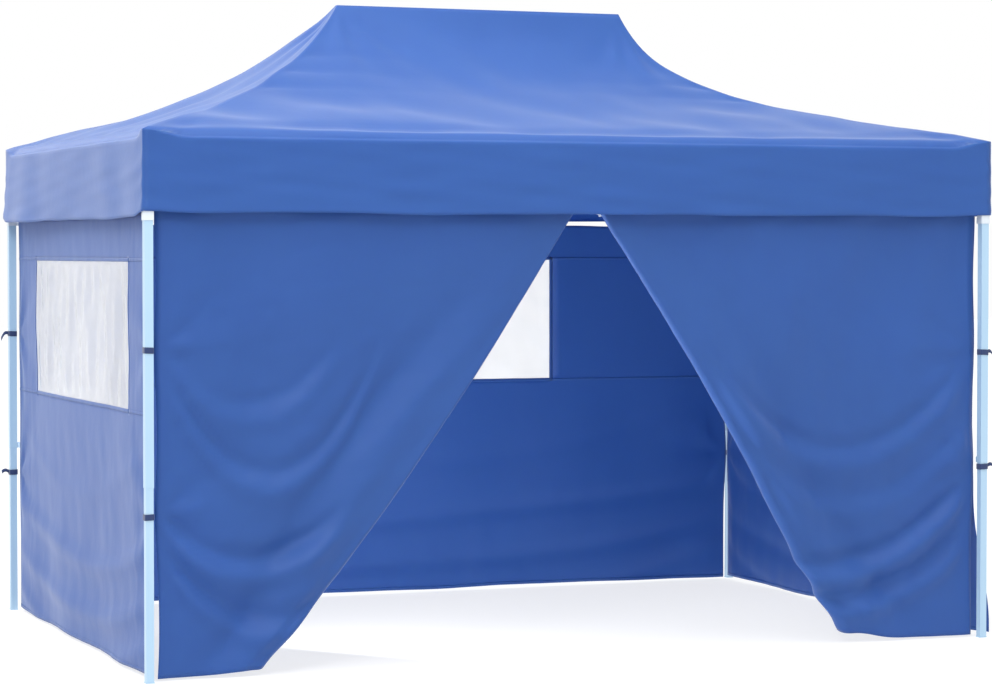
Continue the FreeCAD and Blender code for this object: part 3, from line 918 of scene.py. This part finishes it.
@dataclass
class DoorFlap:
    """Half of the door wall, its lower centre corner folded back inside and tied at the leg."""

    name: str
    sign: float
    body: str
    frame: FrameMeasures
    finishes: Finishes
    seed: int
    tip_x: float
    ties: tuple[float, ...]
    top_x: float = 0.045
    bow: float = 0.055
    tip_lift: float = 0.035
    pull: float = 1.0
    roll: float = 0.020
    crease_depth: float = 0.010
    folds: tuple[tuple[float, float, float, float], ...] = field(default_factory=tuple)

    def grid(self) -> tuple[np.ndarray, np.ndarray, np.ndarray]:
        """Flat cut of the flap, gridded so that one column follows the fold.

        Returns:
            Across (0 at the leg), height, and signed distance past the fold line.
        """
        f = self.frame
        width = f.wall_half_x - self.top_x
        z = np.linspace(f.wall_hem, f.door_top, 96)
        t = (z - f.wall_hem) / (f.door_top - f.wall_hem)
        reach = (f.wall_half_x - self.tip_x) + (width - (f.wall_half_x - self.tip_x)) * t
        outer = 1.0 - (1.0 - np.linspace(0.0, 1.0, 80)) ** 1.6
        inner = np.linspace(0.0, 1.0, 64)[1:] ** 1.5
        a = np.concatenate([outer[None, :] * reach[:, None],
                            reach[:, None] + inner[None, :] * (width - reach)[:, None]], axis=1)
        high = np.broadcast_to(z[:, None], a.shape)
        rise = f.door_top - f.wall_hem
        run = width - (f.wall_half_x - self.tip_x)
        normal = np.array([rise, -run]) / math.hypot(rise, run)
        past = (a - reach[:, None]) * normal[0]
        return a, high, past

    def surface(self) -> tuple[np.ndarray, np.ndarray]:
        """Fold the cut: flat, then round a roll, then back along the inside.

        Past the fold line by d, a point goes round a roll of radius r: r sin(d/r) beyond the
        line and r (1 - cos(d/r)) inward, and after half a turn straight back.

        Returns:
            Points and flat coordinates.
        """
        f = self.frame
        a, z, past = self.grid()
        width = f.wall_half_x - self.top_x
        rise = f.door_top - f.wall_hem
        run = width - (f.wall_half_x - self.tip_x)
        size = math.hypot(rise, run)
        na, nz = rise / size, -run / size
        r = self.roll * (0.55 + 0.9 * (f.door_top - z) / rise)
        half_turn = math.pi * r
        d = np.clip(past, 0.0, None)
        beyond = np.where(d < half_turn, r * np.sin(d / r), -(d - half_turn))
        inward = np.where(d < half_turn, r * (1.0 - np.cos(d / r)), 2.0 * r)
        inward = np.where(past > 0.0, inward, 0.0)
        base_a, base_z = a - d * na, z - d * nz
        gap = np.clip(past - half_turn, 0.0, None)
        fa = np.where(past > 0.0, base_a + beyond * na, a)
        fz = np.where(past > 0.0, base_z + beyond * nz, z)
        t = np.clip((f.door_top - fz) / rise, 0.0, 1.0)
        near = np.exp(-((np.abs(np.where(past > 0.0, beyond, past)) / 0.55) ** 2))
        fa = fa + 4.0 * t * (1.0 - t) * self.bow * near
        to_tip = np.hypot(past / 0.15, (fz - f.wall_hem) / 0.20)
        fz = fz + self.tip_lift * np.exp(-to_tip ** 2)
        fa = fa - 1.2 * self.tip_lift * np.exp(-to_tip ** 2)
        fold_back = smooth(gap, 0.0, 0.9)
        inward = inward + 0.03 * smooth(gap, 0.0, 0.3) + 0.02 * np.sin(7.0 * fz + 4.0 * fa) * fold_back
        outward = self.relief(fa, fz) * np.where(past > 0.0, np.exp(-gap / 0.15), 1.0)
        outward = outward + self.edge_pulls(past, fz, t) * (past <= 0.0)
        slack = self.edge_slack(fz) * (1.0 - smooth(fa, 0.0, 0.25)) * (past <= 0.0)
        fa = np.clip(fa + slack, 0.0, None)
        x = self.sign * (f.wall_half_x - fa)
        y = -(f.wall_y + outward) + inward
        fz = np.maximum(fz, 0.004)
        return np.stack([x, y, fz], axis=-1), np.stack([a, z], axis=-1)

    def edge_pulls(self, past: np.ndarray, z: np.ndarray, t: np.ndarray) -> np.ndarray:
        """Outward offset of the ridges and hollows that run beside the fold line.

        Args:
            past: Signed distance past the fold line.
            z: Height.
            t: Share of the way down from the top.

        Returns:
            Offset in metres, nothing on the line itself.
        """
        wander = past + 0.05 * np.sin(3.1 * z + self.seed) * np.clip(t * 2.0, 0.0, 1.0)
        pulls = 0.018 * bell(wander, -0.11, 0.07) - 0.026 * bell(wander, -0.27, 0.07)
        pulls += 0.010 * bell(wander, -0.48, 0.12) - 0.008 * bell(wander, -0.80, 0.15)
        along = smooth(t, 0.04, 0.55) * (1.0 - 0.6 * smooth(t, 0.9, 1.0))
        return self.pull * pulls * smooth(-past, 0.0, 0.06) * along

    def edge_slack(self, z: np.ndarray) -> np.ndarray:
        """How far the edge draws away from the leg between two ties."""
        pinned = np.zeros_like(z)
        for level in (*self.ties, self.frame.door_top):
            pinned = np.maximum(pinned, bell(z, level, 0.2))
        return 0.012 * (1.0 - pinned)

    def relief(self, a: np.ndarray, z: np.ndarray) -> np.ndarray:
        """Outward offset: billow, creases, and the drape folds that run down from the ties.

        Each drape fold hangs in a U from height z0 at the leg, lowest by depth at the given reach:
        a hollow with a ridge under it.

        Args:
            a: Across from the leg.
            z: Height.

        Returns:
            Offset in metres.
        """
        f = self.frame
        held = smooth(a, 0.0, 0.10) * (1.0 - smooth(z, f.door_top - 0.10, f.door_top))
        out = 0.016 * Ripple(self.seed, 1.2, (1.0, 1.3)).at(a, z)
        out += 0.005 * Ripple(self.seed + 1, 0.4, (0.8, 1.7)).at(a, z)
        out += 0.0014 * Ripple(self.seed + 2, 0.13).at(a, z)
        for z0, depth, reach, size in self.folds:
            line = z - (z0 - depth * (1.0 - (a / reach - 1.0) ** 2))
            fade = smooth(a, 0.0, 0.14) * (1.0 - smooth(a, 1.6 * reach, 2.1 * reach))
            out += size * fade * (bell(line, -0.05, 0.055) - 0.9 * bell(line, 0.05, 0.045))
        for level in self.ties:
            away = np.hypot(a, z - level)
            turn = np.arctan2(z - level, a + 1e-6)
            out += (self.crease_depth * np.exp(-away / 0.4) * smooth(away, 0.02, 0.15)
                    * np.sin(7.0 * turn + 0.5))
        return out * held

    def build(self) -> bpy.types.Object:
        """Make the flap and its fold with the frame.

        Returns:
            The flap object.
        """
        points, flat = self.surface()
        if self.sign > 0:
            points, flat = points[:, ::-1], flat[:, ::-1]
        piece = sheet_object(self.name + "_cloth", points, flat)
        dress(piece, self.finishes.wall, self.body)
        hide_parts(self.name)
        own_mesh(piece)
        return piece


@dataclass
class LegStraps:
    """Webbing loops that tie the walls to one leg, each with a short free tail."""

    leg: str
    sign_x: float
    sign_y: float
    levels: tuple[float, ...]
    frame: FrameMeasures
    finishes: Finishes
    width: float = 0.028
    gap: float = 0.0012
    thick: float = 0.0022
    tails: bool = True

    def loop(self, level: float, tilt: float) -> np.ndarray:
        """Closed band round the square tube.

        The path is a rounded square, a superellipse |x|^n + |y|^n = h^n with n = 9, and the
        section is a flat rectangle with eased corners.

        Args:
            level: Height of the band's middle.
            tilt: Slope of the band across the leg.

        Returns:
            Grid (around, section, 3).
        """
        f = self.frame
        t = np.linspace(0.0, 2.0 * math.pi, 73)[:-1]
        c, s = np.cos(t), np.sin(t)
        h = f.leg_half + self.gap
        n = 9.0
        r = h / (np.abs(c) ** n + np.abs(s) ** n) ** (1.0 / n)
        k = np.linspace(0.0, 2.0 * math.pi, 13)[:-1]
        side = 0.5 + 0.5 * np.sign(np.cos(k)) * np.abs(np.cos(k)) ** 0.35
        tall = 0.5 * np.sign(np.sin(k)) * np.abs(np.sin(k)) ** 0.35
        radius = r[:, None] + self.thick * side[None, :] + 0.0006 * np.sin(3.0 * t)[:, None]
        x = self.sign_x * f.leg_x + radius * c[:, None]
        y = self.sign_y * f.leg_y + radius * s[:, None]
        z = level + self.width * tall[None, :] + tilt * c[:, None] * h
        return np.stack([x, y, z], axis=-1)

    def tail(self, level: float, droop: float) -> np.ndarray:
        """Free end that stands out from the leg's outer face and droops.

        Args:
            level: Height where the tail leaves the loop.
            droop: How far its end hangs down.

        Returns:
            Grid (along, across, 3).
        """
        f = self.frame
        t = np.linspace(0.0, 1.0, 14)[:, None]
        w = np.linspace(-0.5, 0.5, 3)[None, :]
        out = f.leg_half + self.gap + 0.042 * t
        x = np.broadcast_to(self.sign_x * (f.leg_x + out), (t.size, w.size))
        y = self.sign_y * f.leg_y - 0.006 + 0.012 * t * w
        z = level + self.width * 0.62 * w + 0.016 * np.sin(t * 2.2) - droop * t ** 2
        return np.stack([x, y, z], axis=-1)

    def build(self) -> list[bpy.types.Object]:
        """Make the loops and tails of this leg.

        Returns:
            One object per level.
        """
        made = []
        for k, level in enumerate(self.levels):
            grid = self.loop(level, 0.05 * (-1) ** k)
            grid = np.concatenate([grid, grid[:1]], axis=0)
            grid = np.concatenate([grid, grid[:, :1]], axis=1)
            flat = grid[..., :2].copy()
            band = sheet_object("strap_%s_%d" % (self.leg, k + 1), grid, flat, thickness=0.0)
            if self.tails:
                tail = self.tail(level, 0.012 + 0.03 * k)
                end = sheet_object("tail_%s_%d" % (self.leg, k + 1), tail, tail[..., :2].copy(),
                                   thickness=0.0016)
                with_solid(end)
                band = join(band.name, [band, end])
            seal(band)
            dress(band, self.finishes.webbing, "leg_%s" % self.leg)
            made.append(band)
        return made


def with_solid(piece: bpy.types.Object) -> None:
    """Apply a piece's modifiers to its mesh."""
    graph = bpy.context.evaluated_depsgraph_get()
    graph.update()
    mesh = bpy.data.meshes.new_from_object(piece.evaluated_get(graph))
    piece.modifiers.clear()
    piece.data = mesh


def seal(piece: bpy.types.Object) -> None:
    """Merge doubled points and turn the faces outward.

    Args:
        piece: The object whose mesh is changed.
    """
    work = bmesh.new()
    work.from_mesh(piece.data)
    bmesh.ops.remove_doubles(work, verts=work.verts, dist=1e-6)
    bmesh.ops.recalc_face_normals(work, faces=work.faces)
    work.to_mesh(piece.data)
    work.free()


class Studio:
    """Camera, floor and soft lights."""

    def camera(self) -> None:
        """Long lens at head height, to the left of the door side."""
        data = bpy.data.cameras.new("camera")
        data.sensor_width = 36.0
        data.lens = 105.49
        data.clip_end = 200.0
        seen = bpy.data.objects.new("camera", data)
        seen.location = (-5.512, -14.307, 1.960)
        seen.rotation_euler = (math.radians(90.0 - 1.788), 0.0, math.radians(-21.395))
        bpy.context.scene.collection.objects.link(seen)
        bpy.context.scene.camera = seen

    def floor(self) -> None:
        """Plain pale floor that runs far past the object."""
        half = 60.0
        grid = np.array([[[-half, -half, 0], [half, -half, 0]], [[-half, half, 0], [half, half, 0]]], float)
        grid[..., 2] = -0.0005
        floor = sheet_object("floor", grid, grid[..., :2], thickness=0.0)
        m = Maker("pale floor")
        m.shade(Base_Color=linear("8e8e8e"), Roughness=0.9, Emission_Color=linear("ffffff"),
                Emission_Strength=0.75)
        floor.data.materials.append(m.material)

    def lamp(self, name: str, place: tuple[float, float, float], size: float, power: float) -> None:
        """Square area light aimed at the object's middle.

        Args:
            name: Light name.
            place: Position.
            size: Side in metres.
            power: Watts.
        """
        data = bpy.data.lights.new(name, "AREA")
        data.size, data.energy = size, power
        lamp = bpy.data.objects.new(name, data)
        lamp.location = place
        lamp.visible_camera = False
        lamp.rotation_euler = (Vector((0.0, 0.0, 1.4)) - Vector(place)).to_track_quat("-Z", "Y").to_euler()
        bpy.context.scene.collection.objects.link(lamp)

    def build(self) -> None:
        """Make the whole stage."""
        self.camera()
        self.floor()
        self.lamp("rear left softbox", (-7.0, 12.0, 8.0), 6.0, 680.0)
        self.lamp("front left softbox", (-8.0, -10.0, 9.5), 4.0, 600.0)
        self.lamp("inside fill", (-1.3, -1.0, 0.5), 0.5, 60.0)
        self.lamp("top softbox", (-2.0, -3.0, 11.0), 7.0, 720.0)
        world = bpy.data.worlds.new("studio")
        world.use_nodes = True
        world.node_tree.nodes["Background"].inputs["Color"].default_value = (1.0, 1.0, 1.0, 1.0)
        world.node_tree.nodes["Background"].inputs["Strength"].default_value = 1.0
        bpy.context.scene.world = world
        bpy.context.scene.view_settings.view_transform = "Standard"


def dress_frame(frame: dict, finishes: Finishes) -> None:
    """Give every shown CAD node the finish of its slot.

    Args:
        frame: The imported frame.
        finishes: The object's materials.
    """
    slots = {s["node"]: s["material_slot"] for s in frame["record"]["subparts"]}
    for name, node in frame["nodes"].items():
        material = finishes.slots.get(slots[name])
        if material is None:
            continue
        for k in range(max(1, len(node.material_slots))):
            if len(node.data.materials) <= k:
                node.data.materials.append(material)
            node.material_slots[k].material = material


def corners(bounds: tuple) -> list[list[float]]:
    """Bounds as plain lists of numbers.

    Args:
        bounds: Lowest and highest corner.

    Returns:
        The two corners as lists.
    """
    return [[float(v) for v in corner] for corner in bounds]


def main() -> None:
    """Build the stage, the fabric and the straps."""
    logging.basicConfig(level=logging.INFO)
    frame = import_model()
    Studio().build()
    finishes = Finishes()
    dress_frame(frame, finishes)
    f = FrameMeasures.read()
    LOG.info("canopy %s", Canopy(f, finishes).build().name)
    for wall in (Wall(Side.REAR, "leg_rear_left", f, finishes, 31),
                 Wall(Side.LEFT, "leg_rear_left", f, finishes, 41),
                 Wall(Side.RIGHT, "leg_rear_right", f, finishes, 51)):
        LOG.info("wall %s", [p.name for p in wall.build()])
    left_folds = ((0.74, 0.24, 0.46, 0.030), (0.64, 0.42, 0.56, 0.022), (1.50, 0.60, 0.55, 0.020),
                  (1.54, 0.32, 0.45, 0.012))
    right_folds = ((0.82, 0.46, 0.85, 0.032), (0.55, 0.36, 0.80, 0.026), (1.44, 0.50, 0.75, 0.018),
                   (1.12, 0.42, 0.70, 0.012))
    flaps = (DoorFlap("door_flap_left", -1.0, "leg_front_left", f, finishes, 61, 1.640, STRAP_LEVELS,
                      folds=left_folds, tip_lift=0.016),
             DoorFlap("door_flap_right", 1.0, "leg_front_right", f, finishes, 71, 1.430,
                      STRAP_LEVELS_FRONT_RIGHT, bow=-0.045, roll=0.028, folds=right_folds, top_x=0.060))
    for flap in flaps:
        LOG.info("flap %s", flap.build().name)
    for leg, sx, sy, levels, tails in (("front_left", -1, -1, STRAP_LEVELS, False),
                                       ("front_right", 1, -1, STRAP_LEVELS_FRONT_RIGHT, True),
                                       ("rear_right", 1, 1, STRAP_LEVELS, False),
                                       ("rear_left", -1, 1, STRAP_LEVELS, True)):
        straps = LegStraps(leg, sx, sy, levels, f, finishes, tails=tails).build()
        LOG.info("straps %s", [p.name for p in straps])


if __name__ == "__main__":
    main()
